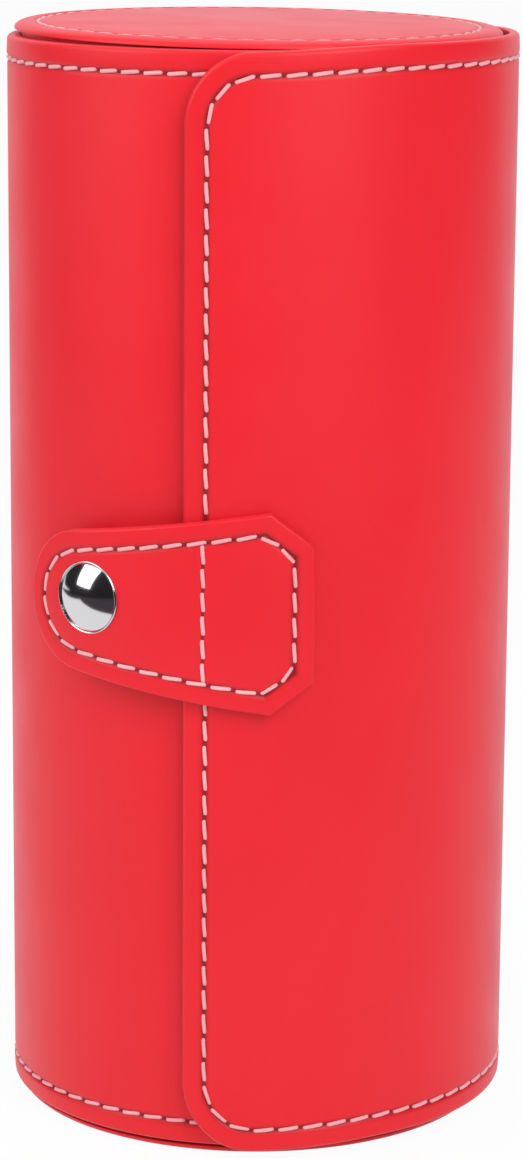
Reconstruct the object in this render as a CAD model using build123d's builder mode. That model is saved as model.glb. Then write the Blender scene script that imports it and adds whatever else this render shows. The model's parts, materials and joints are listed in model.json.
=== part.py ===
from build123d import *
from math import acos, atan2, cos, degrees, hypot, pi, radians, sin, sqrt
import os

# A round travel case for three watches. A leather-covered trough stands on a bottom disc, a stiffened flap
# wraps from a folded hinge at the back over its mouth, and a tab on the flap closes with a press stud.
#
# Frame: millimetres, +Z up the axis of the case, the origin at the centre of the bottom disc's outer face.
# Bearings are degrees about an upright axis: 0 points to -Y, where the tab closes, and 90 to +X.

# ---- Driving dimensions -------------------------------------------------------------------------------------

# Case and wall
overall_height = 190.0  # over the faces of the two end discs
cover_radius = 43.3  # outside of the fixed cover
disc_proud = 2.0  # each end disc past the rim of the covers
leather = 0.9
suede = 0.6
fixed_board_thickness = 1.25
flap_board_thickness = 0.75
glue_line = 0.05
rim_bevel = 0.5

# Mouth, flap and folded hinge
hinge_bearing = 153.0
mouth_bearing = 27.0  # the trough's front edge, under the flap
flap_edge_bearing = -15.7  # the flap's free edge, about the flap's own axis
flap_corner_radius = 12.0
flap_clearance = 0.3
crease_gap = 0.2
board_setback = 1.5  # the boards stop short of the fold
flap_hem = 3.0  # leather folded in round the edge of the flap's board
lining_inset = 2.2  # the flap's lining stays inside its outline and over the edge of the board
seam_inset = 3.9

# End discs and dividers
disc_gap = 0.4
disc_board_thickness = 2.0
disc_edge_bevel = 0.7
divider_board_thickness = 2.0
divider_gap = 0.1
compartment_count = 3

# Closure tab, measured along its outer face
tab_height = 96.2
tab_free_length = 35.4
tab_sewn_length = 18.7
tab_tip_radius = 12.0
tab_half_width = 17.0
tab_chamfer_run = 7.4
tab_chamfer_drop = 5.6
tab_gap = 0.25  # between the tab and the flap under it

# Press stud
snap_from_tip = 14.0
snap_rise = 0.9  # above the tab's middle
snap_sheet = 0.4
cap_radius = 6.25
cap_dome = 2.4
cap_roll = 0.5  # the bevel round its rim
cap_lip = 2.0
eyelet_flange_radius = 4.8
eyelet_radius = 1.6
eyelet_bore = 1.2
socket_radius = 5.4
socket_mouth_radius = 2.6
socket_bevel = 0.3
stud_flange_radius = 5.2
stud_neck_radius = 1.8
stud_head_radius = 2.3
stud_head = 0.45
stud_head_bevel = 0.2
stud_bore = 1.15
spring_reach = 2.2
spring_section = 0.5  # a square ring
rivet_radius = 1.05
rivet_head_radius = 4.4
snap_play = 0.2  # between the stud and what closes over it
fit = 0.05

# Watch cushions
cushion_width = 62.0
cushion_front = 5.5  # of the front face, in front of the case's axis
cushion_corner = 12.0
cushion_length = 52.0
cushion_gap = 0.3
sleeve_thickness = 1.0

# ---- Derived sizes ------------------------------------------------------------------------------------------

rim_low = disc_proud
rim_high = overall_height - disc_proud

fixed_wall = leather + glue_line + fixed_board_thickness
wall_inside = cover_radius - fixed_wall
lining_outside = wall_inside - glue_line
lining_inside = lining_outside - suede

# The flap is a round wall on an axis of its own, moved forward so that it clears the trough where it laps
# over and meets it flush at the hinge.
flap_edge_wall = leather + glue_line + flap_board_thickness
flap_wall = flap_edge_wall + glue_line + suede
flap_shift = (flap_wall + flap_clearance) / (cos(radians(mouth_bearing)) - cos(radians(hinge_bearing)))
flap_radius = cover_radius - flap_shift * cos(radians(hinge_bearing))
flap_y = -flap_shift
flap_edge_inside = flap_radius - flap_edge_wall
flap_lining_inside = flap_radius - flap_wall

disc_radius = wall_inside - disc_gap
disc_wall = leather + glue_line + disc_board_thickness
disc_thickness = disc_wall + glue_line + suede
divider_radius = lining_inside - divider_gap
divider_thickness = divider_board_thickness + 2 * (glue_line + suede)
room_height = overall_height - 2 * disc_thickness - (compartment_count - 1) * divider_thickness
compartment_height = room_height / compartment_count

tab_inside = flap_radius + tab_gap
tab_outside = tab_inside + 2 * leather + glue_line
fold_bearing = flap_edge_bearing + degrees(seam_inset / flap_radius)
tab_tip_bearing = fold_bearing - degrees(tab_free_length / tab_outside)
tab_end_bearing = fold_bearing + degrees(tab_sewn_length / tab_outside)
tab_middle_bearing = (tab_tip_bearing + tab_end_bearing) / 2


def sagitta(radius, half_width):
    """How far a round wall falls away over half a flat width."""
    return radius - sqrt(radius**2 - half_width**2)


def outward(bearing):
    """Unit vector at a bearing."""
    return Vector(sin(radians(bearing)), -cos(radians(bearing)), 0)


snap_bearing = tab_tip_bearing + degrees(snap_from_tip / tab_outside)
snap_out = outward(snap_bearing)
flap_to_cover = sqrt(cover_radius**2 - (flap_shift * snap_out.X) ** 2) + flap_shift * snap_out.Y
snap_origin = Vector(0, flap_y, tab_height + snap_rise) + snap_out * flap_to_cover

# Heights along the snap's own axis, from the fixed cover's surface outward
stud_seat = -sagitta(cover_radius, stud_flange_radius)
stud_low = stud_seat + fit
stud_flange_top = stud_low + snap_sheet
tab_under = tab_inside - flap_to_cover
tab_top = tab_outside - flap_to_cover
socket_top = tab_under - sagitta(tab_inside, socket_radius) - fit
socket_low = stud_flange_top + snap_play + fit
stud_top = socket_top - snap_sheet - snap_play
spring_height = socket_low + snap_sheet + spring_section / 2 + fit
cap_seat = tab_top - sagitta(tab_outside, cap_radius)
# The snap stands square to the flap, so on the fixed cover it leans a little.
snap_lean = flap_shift * abs(snap_out.X) / cover_radius
rivet_head_top = (
    -leather - sagitta(cover_radius - leather, rivet_head_radius) - rivet_head_radius * snap_lean - fit
)


# ---- Planes, walls and outlines -----------------------------------------------------------------------------


def radial_plane(bearing, centre_y=0.0):
    """Upright plane through an axis, x outward at the bearing and y up. Its normal faces smaller bearings."""
    out = outward(bearing)
    return Plane(origin=(0, centre_y, 0), x_dir=out, z_dir=(out.Y, -out.X, 0))


def wall(inside, outside, low, high, start, end, centre_y=0.0, bevel=0.0, mode=Mode.ADD):
    """Part of a round wall between two radii, two heights and two bearings."""
    with BuildSketch(radial_plane(start, centre_y)) as section:
        with Locations(((inside + outside) / 2, (low + high) / 2)):
            Rectangle(outside - inside, high - low)
        if bevel:
            chamfer(section.vertices(), bevel)
    axis = Axis((0, centre_y, 0), (0, 0, 1))
    revolve(section.sketch, axis=axis, revolution_arc=end - start, mode=mode)


def round_free_corners(inset=0.0):
    """Cut away what lies outside the flap's two rounded free corners, for a layer set in from its outline."""
    half_turn = degrees(flap_corner_radius / 2 / flap_radius)
    bearing = flap_edge_bearing + half_turn
    plane = Plane(
        origin=(0, flap_y, overall_height / 2),
        x_dir=(cos(radians(bearing)), sin(radians(bearing)), 0),
        z_dir=outward(bearing),
    )
    radius = flap_corner_radius - inset
    edge = inset - flap_radius * sin(radians(half_turn))
    middle = edge + radius
    top = rim_high - overall_height / 2 - inset
    bulge = radius * (1 - cos(pi / 4))
    with BuildSketch(plane) as waste:
        with BuildLine():
            ThreePointArc((middle, top), (edge + bulge, top - bulge), (edge, top - radius))
            Polyline(
                (edge, top - radius),
                (edge - radius, top - radius),
                (edge - radius, top + radius),
                (middle, top + radius),
                (middle, top),
            )
        make_face()
        mirror(about=Plane.XZ)
    extrude(waste.sketch, amount=2 * flap_radius, mode=Mode.SUBTRACT)


def snap_plane(height):
    """Plane across the snap's axis."""
    return Plane(origin=snap_origin + snap_out * height, x_dir=(0, 0, 1), z_dir=snap_out)


snap_section = Plane(origin=snap_origin, x_dir=(0, 0, 1), z_dir=(-snap_out.Y, snap_out.X, 0))
snap_axis = Axis(snap_origin, snap_out)


def snap_bore(radius, low, high):
    """Cut a round hole along the snap's axis."""
    with BuildSketch(snap_plane(low)) as hole:
        Circle(radius)
    extrude(hole.sketch, amount=high - low, mode=Mode.SUBTRACT)


def tab_layer(inside, outside):
    """One leather of the tab, cut to its outline from a round wall."""
    plane = Plane(
        origin=(0, flap_y, tab_height),
        x_dir=(cos(radians(tab_middle_bearing)), sin(radians(tab_middle_bearing)), 0),
        z_dir=outward(tab_middle_bearing),
    )
    wall(
        inside,
        outside,
        tab_height - tab_half_width,
        tab_height + tab_half_width,
        tab_tip_bearing,
        tab_end_bearing,
        flap_y,
    )

    def across(bearing):
        return tab_outside * sin(radians(bearing - tab_middle_bearing))

    tip = across(tab_tip_bearing)
    nose = across(tab_tip_bearing + degrees(tab_tip_radius / tab_outside))
    shoulder = across(tab_end_bearing - degrees(tab_chamfer_run / tab_outside))
    end = across(tab_end_bearing)
    # The straight sides are tangent to the nose. On a nose squeezed to a unit circle the tangent from the
    # shoulder touches at the angle of the shoulder plus the angle whose cosine is one over its distance.
    squeezed = ((shoulder - nose) / (nose - tip), tab_half_width / tab_tip_radius)
    touch = atan2(squeezed[1], squeezed[0]) + acos(1 / hypot(*squeezed))
    touch_point = (nose + (nose - tip) * cos(touch), tab_tip_radius * sin(touch))
    with BuildSketch(plane) as outline:
        with BuildLine():
            round_size = 360 - 2 * degrees(touch)
            EllipticalCenterArc(
                (nose, 0), nose - tip, tab_tip_radius, start_angle=degrees(touch), arc_size=round_size
            )
            Polyline(
                (touch_point[0], -touch_point[1]),
                (shoulder, -tab_half_width),
                (end, tab_chamfer_drop - tab_half_width),
                (end, tab_half_width - tab_chamfer_drop),
                (shoulder, tab_half_width),
                touch_point,
            )
        make_face()
    extrude(outline.sketch, amount=2 * tab_outside, mode=Mode.INTERSECT)


def save(part, name):
    part.label = name
    export_step(part, f"parts/{name}.step")


os.makedirs("parts", exist_ok=True)

# ---- Fixed trough -------------------------------------------------------------------------------------------

mouth_end = mouth_bearing + 360

with BuildPart() as fixed_cover:
    wall(wall_inside, cover_radius, rim_low, rim_high, hinge_bearing, mouth_end, bevel=rim_bevel)
    wall(
        wall_inside - fixed_wall,
        cover_radius - leather,
        rim_low + leather,
        rim_high - leather,
        hinge_bearing - 1,
        mouth_end - degrees(leather / cover_radius),
        mode=Mode.SUBTRACT,
    )
    snap_bore(stud_flange_radius + fit, stud_seat, fixed_wall)
    snap_bore(rivet_radius + fit, -fixed_wall, fixed_wall)
save(fixed_cover.part, "fixed_cover")

with BuildPart() as fixed_board:
    wall(
        wall_inside,
        cover_radius - leather - glue_line,
        rim_low + leather + glue_line,
        rim_high - leather - glue_line,
        hinge_bearing + degrees(board_setback / cover_radius),
        mouth_end - degrees((leather + glue_line) / wall_inside),
    )
    snap_bore(rivet_head_radius + fit, -2 * fixed_wall, 0)
save(fixed_board.part, "fixed_board")

with BuildPart() as fixed_lining:
    wall(
        lining_inside,
        lining_outside,
        disc_thickness,
        overall_height - disc_thickness,
        hinge_bearing,
        mouth_end - degrees(leather / wall_inside),
    )
save(fixed_lining.part, "fixed_lining")

# ---- End discs ----------------------------------------------------------------------------------------------

with BuildPart() as bottom_disc_cover:
    with BuildSketch(radial_plane(90)) as cup:
        with Locations((disc_radius / 2, disc_wall / 2)):
            Rectangle(disc_radius, disc_wall)
        chamfer(cup.vertices().group_by(Axis.X)[-1], disc_edge_bevel)
        with Locations(((disc_radius - leather) / 2, (leather + overall_height) / 2)):
            Rectangle(disc_radius - leather, overall_height - leather, mode=Mode.SUBTRACT)
    revolve(axis=Axis.Z)

with BuildPart() as bottom_disc_board:
    with BuildSketch(Plane.XY.offset(leather + glue_line)):
        Circle(disc_radius - leather - glue_line)
    extrude(amount=disc_board_thickness)

with BuildPart() as bottom_disc_lining:
    with BuildSketch(Plane.XY.offset(disc_thickness - suede)):
        Circle(disc_radius - fit)
    extrude(amount=suede)

mid_plane = Plane.XY.offset(overall_height / 2)
for name, disc in (
    ("disc_cover", bottom_disc_cover),
    ("disc_board", bottom_disc_board),
    ("disc_lining", bottom_disc_lining),
):
    save(disc.part, "bottom_" + name)
    save(mirror(disc.part, about=mid_plane), "top_" + name)

# ---- Dividers -----------------------------------------------------------------------------------------------

for index, name in enumerate(("lower_divider", "upper_divider"), start=1):
    floor = disc_thickness + index * compartment_height + (index - 1) * divider_thickness
    with BuildPart() as divider:
        with BuildSketch(Plane.XY.offset(floor + suede + glue_line)):
            Circle(divider_radius)
        extrude(amount=divider_board_thickness)
    save(divider.part, name)
    with BuildPart() as facings:
        with BuildSketch(Plane.XY.offset(floor), Plane.XY.offset(floor + divider_thickness - suede)):
            Circle(divider_radius)
        extrude(amount=suede)
    save(facings.part, name + "_facings")

# ---- Flap ---------------------------------------------------------------------------------------------------

past_hinge = hinge_bearing + 5
fold_plane = radial_plane(hinge_bearing)

with BuildPart() as flap_board:
    wall(
        flap_edge_inside,
        flap_radius - leather - glue_line,
        rim_low + flap_hem + glue_line,
        rim_high - flap_hem - glue_line,
        flap_edge_bearing + degrees((flap_hem + glue_line) / flap_radius),
        past_hinge,
        flap_y,
    )
    round_free_corners(flap_hem + glue_line)
    split(bisect_by=fold_plane.offset(board_setback), keep=Keep.TOP)
save(flap_board.part, "flap_board")

with BuildPart() as flap_cover:
    wall(
        flap_edge_inside,
        flap_radius,
        rim_low,
        rim_high,
        flap_edge_bearing,
        past_hinge,
        flap_y,
        bevel=rim_bevel,
    )
    round_free_corners()
    with BuildPart(mode=Mode.PRIVATE) as pocket:
        wall(
            flap_edge_inside - flap_wall,
            flap_radius - leather,
            rim_low + flap_hem,
            rim_high - flap_hem,
            flap_edge_bearing + degrees(flap_hem / flap_radius),
            past_hinge + 1,
            flap_y,
        )
        round_free_corners(flap_hem)
    add(pocket.part, mode=Mode.SUBTRACT)
    split(bisect_by=fold_plane.offset(crease_gap), keep=Keep.TOP)
save(flap_cover.part, "flap_cover")

with BuildPart() as flap_lining:
    wall(
        flap_lining_inside,
        flap_lining_inside + suede,
        rim_low + lining_inset,
        rim_high - lining_inset,
        flap_edge_bearing + degrees(lining_inset / flap_radius),
        past_hinge,
        flap_y,
    )
    round_free_corners(lining_inset)
    split(bisect_by=fold_plane.offset(crease_gap), keep=Keep.TOP)
save(flap_lining.part, "flap_lining")

# ---- Closure tab: the sewn part stays on the flap, the free part folds back --------------------------------

tab_fold_plane = radial_plane(fold_bearing, flap_y)
layers = (("face", tab_outside - leather, tab_outside), ("backing", tab_inside, tab_inside + leather))
for layer, inside, outside in layers:
    with BuildPart() as free_part:
        tab_layer(inside, outside)
        if layer == "face":
            snap_bore(cap_radius + fit, cap_seat, 2 * tab_top)
        snap_bore(eyelet_radius + fit, 0, 2 * tab_top)
        split(bisect_by=tab_fold_plane, keep=Keep.TOP)
    save(free_part.part, "tab_" + layer)
    with BuildPart() as sewn_part:
        tab_layer(inside, outside)
        split(bisect_by=tab_fold_plane, keep=Keep.BOTTOM)
    save(sewn_part.part, "tab_sewn_" + layer)

# ---- Press stud, from the cap inward ------------------------------------------------------------------------

cap_rim = cap_seat + cap_roll
cap_inner = cap_radius - cap_roll
with BuildPart() as snap_cap:
    with BuildSketch(snap_section):
        with BuildLine():
            crown = (0, cap_seat + cap_dome)
            sag = cap_dome - cap_roll
            dome_radius = (cap_radius**2 + sag**2) / (2 * sag)
            shoulder_half = (cap_radius / 2, crown[1] - sagitta(dome_radius, cap_radius / 2))
            ThreePointArc(crown, shoulder_half, (cap_radius, cap_rim))
            Polyline(
                (cap_radius, cap_rim),
                (cap_inner, cap_seat),
                (cap_radius - cap_lip, cap_seat),
                (cap_radius - cap_lip, cap_seat + snap_sheet),
                (cap_inner, cap_seat + snap_sheet),
                (cap_radius / 2, shoulder_half[1] - snap_sheet),
                (0, crown[1] - snap_sheet),
                crown,
            )
        make_face()
    revolve(axis=snap_axis)
save(snap_cap.part, "snap_cap")

eyelet_low = cap_seat + snap_sheet + fit
with BuildPart() as snap_eyelet:
    with BuildSketch(snap_section):
        with BuildLine():
            Polyline(
                (eyelet_bore, socket_top - snap_sheet),
                (eyelet_radius, socket_top - snap_sheet),
                (eyelet_radius, eyelet_low),
                (eyelet_flange_radius, eyelet_low),
                (eyelet_flange_radius, eyelet_low + snap_sheet),
                (eyelet_bore, eyelet_low + snap_sheet),
                close=True,
            )
        make_face()
    revolve(axis=snap_axis)
save(snap_eyelet.part, "snap_eyelet")

with BuildPart() as snap_socket:
    with BuildSketch(snap_section) as cup:
        middle = (socket_low + socket_top) / 2
        with Locations(((eyelet_radius + socket_radius) / 2, middle)):
            Rectangle(socket_radius - eyelet_radius, socket_top - socket_low)
        chamfer(cup.vertices().group_by(Axis.X)[-1], socket_bevel)
        channel_radius = socket_radius - snap_sheet
        with Locations((channel_radius / 2, middle)):
            Rectangle(channel_radius, socket_top - socket_low - 2 * snap_sheet, mode=Mode.SUBTRACT)
        with Locations((socket_mouth_radius / 2, socket_low)):
            Rectangle(socket_mouth_radius, 2 * snap_sheet + fit, mode=Mode.SUBTRACT)
        with Locations((eyelet_radius, socket_top)):
            Rectangle(2 * fit, 2 * snap_sheet + fit, mode=Mode.SUBTRACT)
    revolve(axis=snap_axis)
save(snap_socket.part, "snap_socket")

with BuildPart() as snap_spring:
    with BuildSketch(snap_section):
        with Locations((spring_reach + spring_section / 2, spring_height)):
            Rectangle(spring_section, spring_section)
    revolve(axis=snap_axis)
save(snap_spring.part, "snap_spring")

with BuildPart() as snap_stud:
    with BuildSketch(snap_section) as stud_section:
        with BuildLine():
            Polyline(
                (stud_bore, stud_top),
                (stud_bore, stud_low),
                (stud_flange_radius, stud_low),
                (stud_flange_radius, stud_flange_top),
                (stud_neck_radius, stud_flange_top),
                (stud_neck_radius, stud_top - stud_head),
                (stud_head_radius, stud_top - stud_head),
                (stud_head_radius, stud_top),
                close=True,
            )
        make_face()
        head_corners = [v for v in stud_section.vertices() if abs(v.X - stud_head_radius) < fit]
        chamfer(head_corners, stud_head_bevel)
    revolve(axis=snap_axis)
save(snap_stud.part, "snap_stud")

with BuildPart() as snap_rivet:
    with BuildSketch(snap_plane(rivet_head_top - snap_sheet)):
        Circle(rivet_head_radius)
    extrude(amount=snap_sheet)
    with BuildSketch(snap_plane(rivet_head_top - snap_sheet)):
        Circle(rivet_radius)
    extrude(amount=stud_top - rivet_head_top)
save(snap_rivet.part, "snap_rivet")

# ---- Watch cushions -----------------------------------------------------------------------------------------

cushion_back_radius = lining_inside - cushion_gap
cushion_depth = cushion_back_radius + cushion_front


def cushion_outline(height, inset=0.0):
    """Cushion section, flat in front and round at the back like the lining, drawn at a height."""
    with BuildSketch(Plane.XY.offset(height)) as outline:
        with Locations((cushion_front - cushion_depth / 2, 0)):
            Rectangle(cushion_depth, cushion_width)
        Circle(cushion_back_radius, mode=Mode.INTERSECT)
        fillet(outline.vertices(), cushion_corner)
        if inset:
            offset(amount=-inset, mode=Mode.REPLACE)
    return outline.sketch


for index, name in enumerate(("lower_cushion", "middle_cushion", "upper_cushion")):
    floor = disc_thickness + index * (compartment_height + divider_thickness) + cushion_gap
    sleeve_low = floor + sleeve_thickness + glue_line
    sleeve_length = cushion_length - 2 * (sleeve_thickness + glue_line)
    with BuildPart() as core:
        extrude(cushion_outline(sleeve_low, sleeve_thickness + glue_line), amount=sleeve_length)
    save(core.part, name + "_core")
    with BuildPart() as sleeve:
        extrude(cushion_outline(sleeve_low), amount=sleeve_length)
        extrude(cushion_outline(sleeve_low, sleeve_thickness), amount=sleeve_length, mode=Mode.SUBTRACT)
    save(sleeve.part, name + "_sleeve")
    with BuildPart() as ends:
        extrude(cushion_outline(floor), amount=sleeve_thickness)
        extrude(cushion_outline(sleeve_low + sleeve_length + glue_line), amount=sleeve_thickness)
    save(ends.part, name + "_ends")
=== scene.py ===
# %% [markdown]
# # A red travel case for three watches
# A leather-covered trough stands on a round bottom, a flap wraps over its mouth from a fold at the back,
# and a small tab closes it with a press stud. The rigid frame comes ready made: boards, dividers and stud
# parts, each on its own moving body. This lesson dresses that frame in leather, thread, suede and velvet.

# %% Load the frame
import json
import math
import bmesh
import bpy
from mathutils import Matrix, Vector
from mathutils.kdtree import KDTree

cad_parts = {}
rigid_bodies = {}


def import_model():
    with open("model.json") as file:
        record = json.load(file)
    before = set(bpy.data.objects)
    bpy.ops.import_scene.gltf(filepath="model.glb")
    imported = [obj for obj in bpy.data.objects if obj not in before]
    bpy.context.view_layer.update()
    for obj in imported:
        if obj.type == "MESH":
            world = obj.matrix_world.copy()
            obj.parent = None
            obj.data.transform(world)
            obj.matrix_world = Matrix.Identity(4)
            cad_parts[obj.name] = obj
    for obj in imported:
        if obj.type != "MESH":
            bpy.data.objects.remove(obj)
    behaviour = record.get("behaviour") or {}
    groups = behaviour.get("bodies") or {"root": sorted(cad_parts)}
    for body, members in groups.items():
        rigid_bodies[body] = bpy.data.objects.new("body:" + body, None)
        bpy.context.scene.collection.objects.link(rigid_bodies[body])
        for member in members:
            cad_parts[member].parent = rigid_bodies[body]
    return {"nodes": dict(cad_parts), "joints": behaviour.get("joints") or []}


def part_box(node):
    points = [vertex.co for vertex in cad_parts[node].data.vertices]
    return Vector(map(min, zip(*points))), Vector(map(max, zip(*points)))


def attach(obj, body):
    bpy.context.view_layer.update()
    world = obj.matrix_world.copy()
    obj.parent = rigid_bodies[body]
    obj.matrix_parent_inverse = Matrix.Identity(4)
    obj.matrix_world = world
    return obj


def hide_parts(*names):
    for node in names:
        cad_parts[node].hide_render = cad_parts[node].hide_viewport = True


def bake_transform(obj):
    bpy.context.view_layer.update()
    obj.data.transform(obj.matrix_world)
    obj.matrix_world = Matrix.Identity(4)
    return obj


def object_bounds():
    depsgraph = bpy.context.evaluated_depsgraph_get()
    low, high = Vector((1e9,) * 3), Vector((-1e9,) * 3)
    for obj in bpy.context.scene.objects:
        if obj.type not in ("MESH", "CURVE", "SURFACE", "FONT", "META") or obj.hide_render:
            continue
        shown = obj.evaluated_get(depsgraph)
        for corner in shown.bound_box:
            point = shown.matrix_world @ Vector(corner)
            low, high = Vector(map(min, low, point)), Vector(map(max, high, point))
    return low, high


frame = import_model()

cad_low, cad_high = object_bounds()

# %% [markdown]
# ## Camera
# The object is looked at from slightly above with a long lens, so its sides stay almost parallel. A long
# lens could also be faked by an orthographic camera, but then the round top would lose its perspective.

# %% Camera
MM = 0.001
camera_distance = 626.9 * MM
camera_height = 226.8 * MM
camera_side = 1.03 * MM
camera_tilt = 12.134
camera_roll = 0.378
camera_lens = 112.15

tilted = Matrix.Rotation(math.radians(90 - camera_tilt), 4, "X")
rolled = tilted @ Matrix.Rotation(math.radians(camera_roll), 4, "Z")
camera_place = (camera_side, -camera_distance, camera_height)
bpy.ops.object.camera_add(location=camera_place, rotation=rolled.to_euler())
camera = bpy.context.object
camera.name = "camera"
camera.data.lens = camera_lens
bpy.context.scene.camera = camera
bpy.context.scene.view_settings.view_transform = "Standard"
print("camera", tuple(round(c, 3) for c in camera.location), "lens", camera_lens)

# %% [markdown]
# ## Small helpers
# An operator works on whatever is selected, and loading leaves the whole frame selected. So each step first
# selects one piece alone, and in edit mode picks faces or vertices by their place or by the way they look.

# %% Selecting
def select_only(*pieces):
    """Leave edit mode and select these pieces alone. The first is the active one."""
    if bpy.context.object and bpy.context.object.mode == "EDIT":
        bpy.ops.object.mode_set(mode="OBJECT")
    bpy.ops.object.select_all(action="DESELECT")
    for piece in pieces:
        piece.select_set(True)
    bpy.context.view_layer.objects.active = pieces[0]


def choose(piece, kind, wanted):
    """In edit mode, select the "verts", "edges" or "faces" of a piece that wanted() says yes to."""
    if piece.mode != "EDIT":
        select_only(piece)
        bpy.ops.object.mode_set(mode="EDIT")
    bpy.ops.mesh.select_mode(type={"verts": "VERT", "edges": "EDGE", "faces": "FACE"}[kind])
    bpy.ops.mesh.select_all(action="DESELECT")
    mesh = bmesh.from_edit_mesh(piece.data)
    for element in getattr(mesh, kind):
        element.select_set(bool(wanted(element)))
    mesh.select_flush_mode()
    bmesh.update_edit_mesh(piece.data)


def chosen_outline(piece):
    """The corners of the one selected face, in order, as across and up places."""
    mesh = bmesh.from_edit_mesh(piece.data)
    face = next(f for f in mesh.faces if f.select)
    return [(corner.vert.co.x, corner.vert.co.z) for corner in face.loops]


# %% Finishing a mesh
merge_distance = 0.001 * MM


def use_modifier(piece, kind, **settings):
    """Add a modifier and apply it at once, as Ctrl A does."""
    select_only(piece)
    bpy.ops.object.modifier_add(type=kind)
    modifier = piece.modifiers[-1]
    for name, value in settings.items():
        setattr(modifier, name, value)
    bpy.ops.object.modifier_apply(modifier=modifier.name)


def close_up(piece, smooth_angle=40):
    """Merge doubles, point every face outwards and shade smoothly except over sharp edges."""
    choose(piece, "verts", lambda v: True)
    bpy.ops.mesh.remove_doubles(threshold=merge_distance)
    bpy.ops.mesh.normals_make_consistent(inside=False)
    bpy.ops.object.mode_set(mode="OBJECT")
    bpy.ops.object.shade_smooth_by_angle(angle=math.radians(smooth_angle))


def move(piece, matrix):
    """Move a piece and write its new place into its mesh, so that its object stays at the origin."""
    select_only(piece)
    piece.matrix_world = matrix @ piece.matrix_world
    bpy.ops.object.transform_apply()


print("helpers ready")

# %% [markdown]
# ## Stage and light
# A pale floor and a white world stand for the studio. The floor could simply be lit until it is white, but
# that would flood the red leather with light. Instead the camera sees most of it as plain white, through the
# Light Path node, and the lamps only have to light the case.

# %% Floor
floor_size = 14.0
white_share = 0.95


def new_material(name):
    """An empty material with its node tree and output."""
    material = bpy.data.materials.new(name)
    material.use_nodes = True
    material.node_tree.nodes.clear()
    output = material.node_tree.nodes.new("ShaderNodeOutputMaterial")
    return material, material.node_tree.nodes, material.node_tree.links, output


def seen_rays(nodes, links):
    """One for camera, glossy and transmission rays, which show the background; nought for the rest."""
    path = nodes.new("ShaderNodeLightPath")
    first = nodes.new("ShaderNodeMath")
    first.operation = "MAXIMUM"
    links.new(path.outputs["Is Camera Ray"], first.inputs[0])
    links.new(path.outputs["Is Glossy Ray"], first.inputs[1])
    both = nodes.new("ShaderNodeMath")
    both.operation = "MAXIMUM"
    links.new(first.outputs[0], both.inputs[0])
    links.new(path.outputs["Is Transmission Ray"], both.inputs[1])
    return both.outputs[0]


def floor_material():
    """Pale paint for the lamps, and almost plain white for the camera."""
    material, nodes, links, output = new_material("pale_floor")
    paint = nodes.new("ShaderNodeBsdfDiffuse")
    paint.inputs["Color"].default_value = (0.9, 0.9, 0.9, 1)
    white = nodes.new("ShaderNodeEmission")
    share = nodes.new("ShaderNodeMath")
    share.operation = "MULTIPLY"
    share.inputs[1].default_value = white_share
    mix = nodes.new("ShaderNodeMixShader")
    links.new(seen_rays(nodes, links), share.inputs[0])
    links.new(share.outputs[0], mix.inputs["Fac"])
    links.new(paint.outputs[0], mix.inputs[1])
    links.new(white.outputs[0], mix.inputs[2])
    links.new(mix.outputs[0], output.inputs["Surface"])
    return material


bpy.ops.object.select_all(action="DESELECT")
bpy.ops.mesh.primitive_plane_add(size=floor_size)
floor = bpy.context.object
floor.name = "floor"
floor.data.materials.append(floor_material())

# %% World
world_light = 0.36

world = bpy.data.worlds.new("studio")
bpy.context.scene.world = world
world.use_nodes = True
world_nodes = world.node_tree.nodes
world_links = world.node_tree.links
world_nodes.clear()
dim = world_nodes.new("ShaderNodeBackground")
dim.inputs["Color"].default_value = (1, 1, 1, 1)
dim.inputs["Strength"].default_value = world_light
bright = world_nodes.new("ShaderNodeBackground")
bright.inputs["Color"].default_value = (1, 1, 1, 1)
world_mix = world_nodes.new("ShaderNodeMixShader")
world_output = world_nodes.new("ShaderNodeOutputWorld")
world_links.new(seen_rays(world_nodes, world_links), world_mix.inputs["Fac"])
world_links.new(dim.outputs[0], world_mix.inputs[1])
world_links.new(bright.outputs[0], world_mix.inputs[2])
world_links.new(world_mix.outputs[0], world_output.inputs["Surface"])

# %% [markdown]
# The studio in front of the case is dark, which leaves the leather a deep red and gives the press stud its
# dark band. A real studio does this with black cloth. Here it is a tall curved card that only reflections
# see, so it never stands in the way of the camera or the light.

# %% Dark studio wall
wall_distance = 1.9
wall_height = 2.4
wall_half_angle = 132
wall_facets = 72

bpy.ops.object.select_all(action="DESELECT")
bpy.ops.mesh.primitive_cylinder_add(
    vertices=wall_facets,
    radius=wall_distance,
    depth=wall_height,
    end_fill_type="NOTHING",
    location=(0, 0, wall_height / 2),
)
dark_wall = bpy.context.object
dark_wall.name = "dark_wall"


def bearing_of(place):
    """Degrees round the case from its front, where it closes, growing to the right."""
    return math.degrees(math.atan2(place.x, -place.y))


choose(dark_wall, "faces", lambda f: abs(bearing_of(f.calc_center_median())) > wall_half_angle)
bpy.ops.mesh.delete(type="FACE")
bpy.ops.object.mode_set(mode="OBJECT")

# %% Dark floor round the table
table_front = -160 * MM
table_left = -470 * MM
table_back = 500 * MM
room_half = 1.95
card_height = MM

dark_floor_parts = (
    ("dark_floor_front", -room_half, room_half, -room_half, table_front),
    ("dark_floor_left", -room_half, table_left, table_front, table_back),
)
dark_cards = [dark_wall]
for name, left, right, near, far in dark_floor_parts:
    bpy.ops.object.select_all(action="DESELECT")
    card_place = ((left + right) / 2, (near + far) / 2, card_height)
    bpy.ops.mesh.primitive_plane_add(size=1, location=card_place)
    dark_cards.append(bpy.context.object)
    dark_cards[-1].name = name
    dark_cards[-1].scale = (right - left, far - near, 1)

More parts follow.
